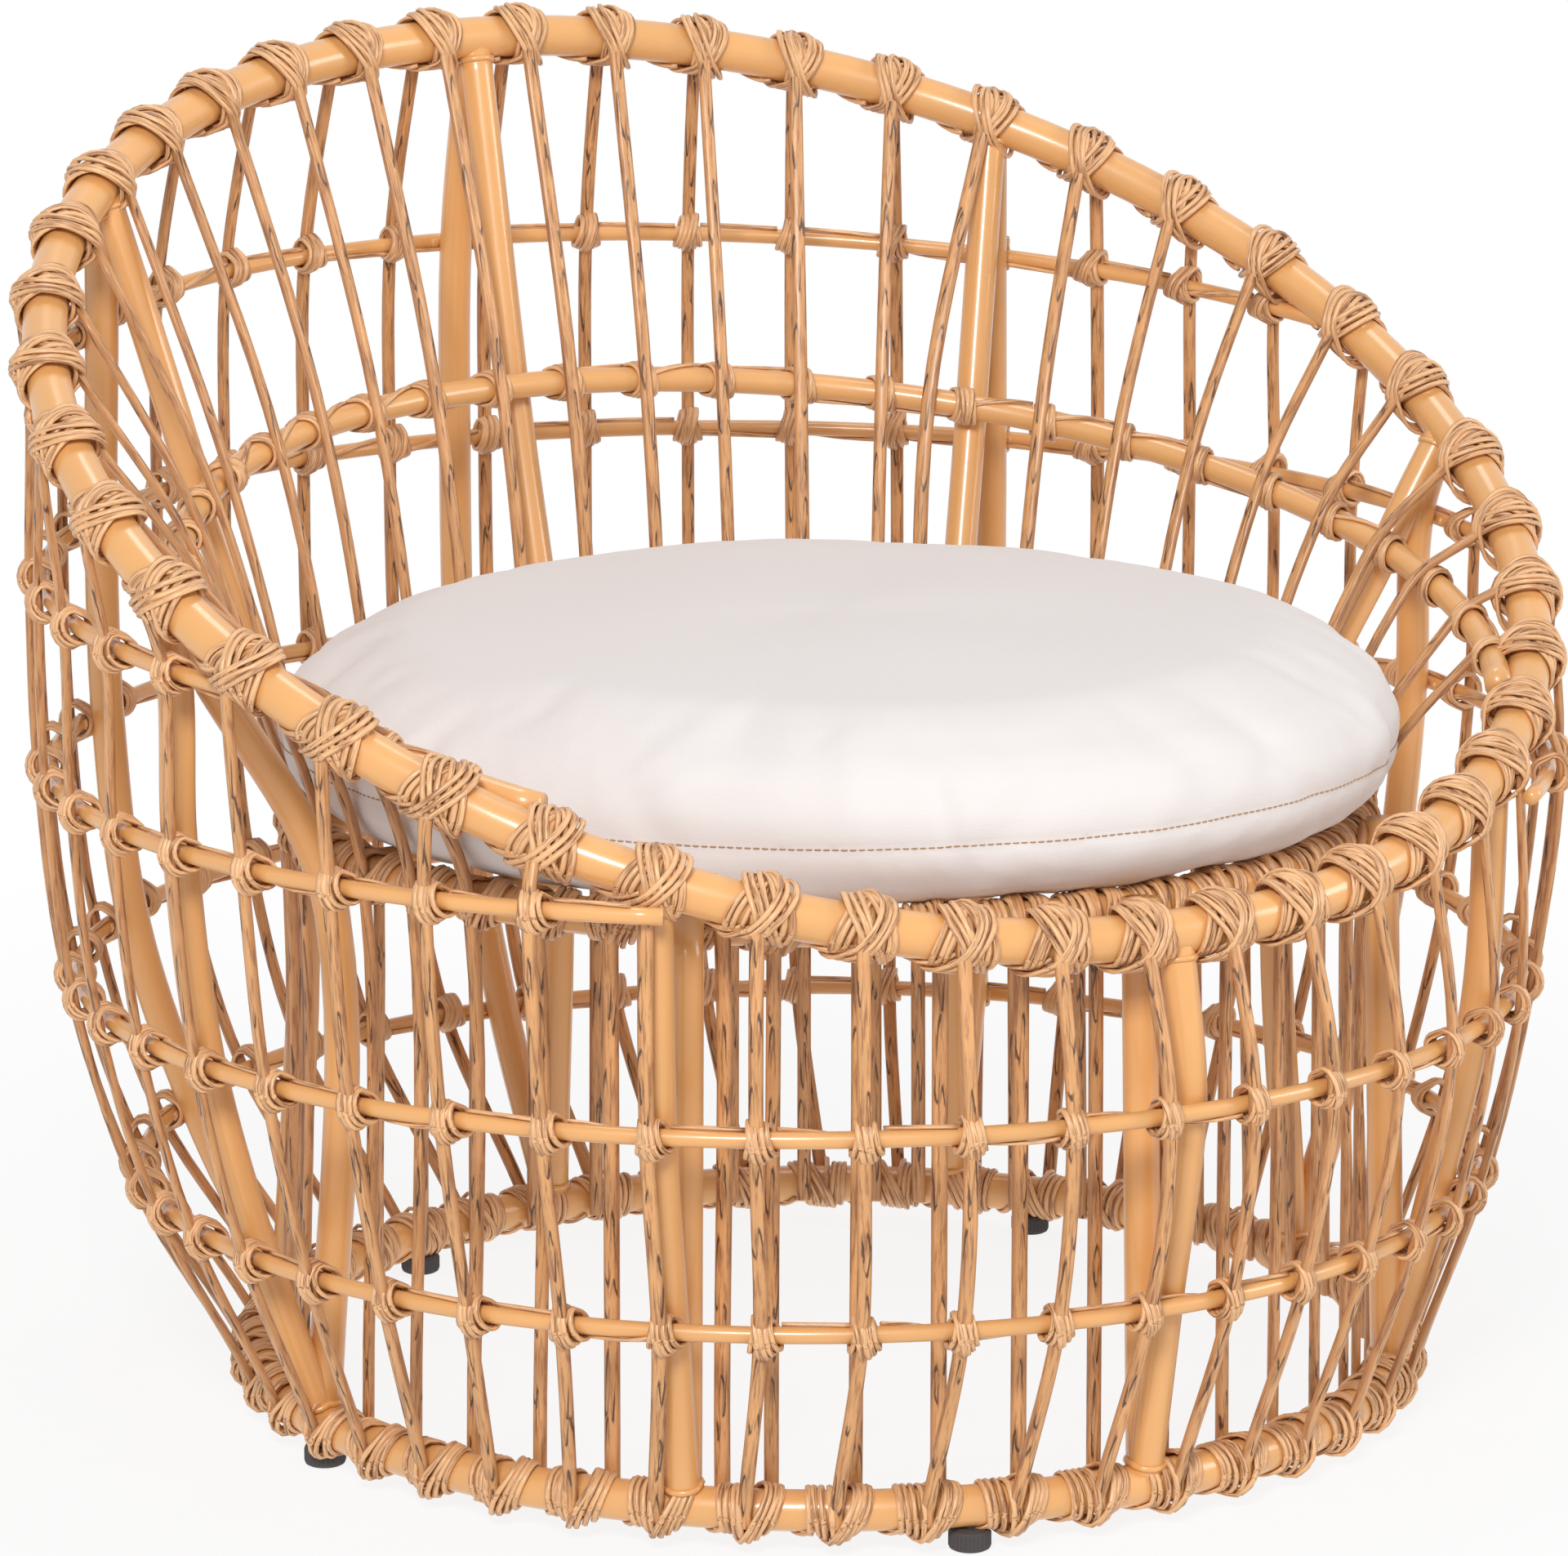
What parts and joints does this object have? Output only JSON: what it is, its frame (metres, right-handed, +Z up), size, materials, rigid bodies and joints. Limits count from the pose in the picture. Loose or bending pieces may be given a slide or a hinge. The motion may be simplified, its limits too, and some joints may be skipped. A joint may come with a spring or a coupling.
{
  "type": "woven garden tub chair",
  "caption": "Low round garden lounge chair: a bent tube frame with a tipped oval rim, lined inside and out with leaning cane strands, and a loose round cushion.",
  "frame": {"origin": "on the floor, under the middle of the chair's outline seen from above", "axes": "+Z is up, -Y is the low open front where the sitter gets in, +Y is the high back, and X runs from side to side"},
  "size_m": [0.8732, 0.8325, 0.7257],
  "materials": {
    "frame_coating": "satin",
    "cane": "satin",
    "cushion_cloth": "matte",
    "foot_plastic": "matte"
  },
  "bodies": {
    "frame": {"back_hoop": "frame_coating", "base_ring": "frame_coating", "hoop_1": "frame_coating", "hoop_2": "frame_coating", "hoop_3": "frame_coating", "hoop_4": "frame_coating", "hoop_5": "frame_coating", "inner_cane_1": "cane", "inner_cane_2": "cane", "inner_cane_3": "cane", "inner_cane_4": "cane", "inner_cane_5": "cane", "inner_cane_6": "cane", "inner_cane_7": "cane", "inner_cane_8": "cane", "inner_upright_1": "frame_coating", "inner_upright_2": "frame_coating", "inner_upright_3": "frame_coating", "inner_upright_4": "frame_coating", "inner_upright_5": "frame_coating", "inner_upright_6": "frame_coating", "inner_upright_7": "frame_coating", "inner_upright_8": "frame_coating", "outer_cane_1": "cane", "outer_cane_2": "cane", "outer_cane_3": "cane", "outer_cane_4": "cane", "outer_cane_5": "cane", "outer_cane_6": "cane", "outer_cane_7": "cane", "outer_cane_8": "cane", "outer_upright_1": "frame_coating", "outer_upright_2": "frame_coating", "outer_upright_3": "frame_coating", "outer_upright_4": "frame_coating", "outer_upright_5": "frame_coating", "outer_upright_6": "frame_coating", "outer_upright_7": "frame_coating", "outer_upright_8": "frame_coating", "seat_bar_1": "frame_coating", "seat_bar_2": "frame_coating", "seat_bar_3": "frame_coating", "seat_bar_4": "frame_coating", "seat_bar_5": "frame_coating", "seat_ring": "frame_coating", "top_rim": "frame_coating"},
    "cushion": {"seat_cushion": "cushion_cloth"},
    "levelling_foot_1": {"foot_1": "foot_plastic"},
    "levelling_foot_2": {"foot_2": "foot_plastic"},
    "levelling_foot_3": {"foot_3": "foot_plastic"},
    "levelling_foot_4": {"foot_4": "foot_plastic"},
    "levelling_foot_5": {"foot_5": "foot_plastic"}
  },
  "joints": [
    {"name": "cushion_lift", "type": "slide", "parent": "frame", "child": "cushion", "axis": [0, 0, 1], "range_m": [0, 0.45]},
    {"name": "foot_1_screw", "type": "slide", "parent": "frame", "child": "levelling_foot_1", "axis": [0, 0, -1], "range_m": [0, 0.006]},
    {"name": "foot_2_screw", "type": "slide", "parent": "frame", "child": "levelling_foot_2", "axis": [0, 0, -1], "range_m": [0, 0.006]},
    {"name": "foot_3_screw", "type": "slide", "parent": "frame", "child": "levelling_foot_3", "axis": [0, 0, -1], "range_m": [0, 0.006]},
    {"name": "foot_4_screw", "type": "slide", "parent": "frame", "child": "levelling_foot_4", "axis": [0, 0, -1], "range_m": [0, 0.006]},
    {"name": "foot_5_screw", "type": "slide", "parent": "frame", "child": "levelling_foot_5", "axis": [0, 0, -1], "range_m": [0, 0.006]}
  ]
}
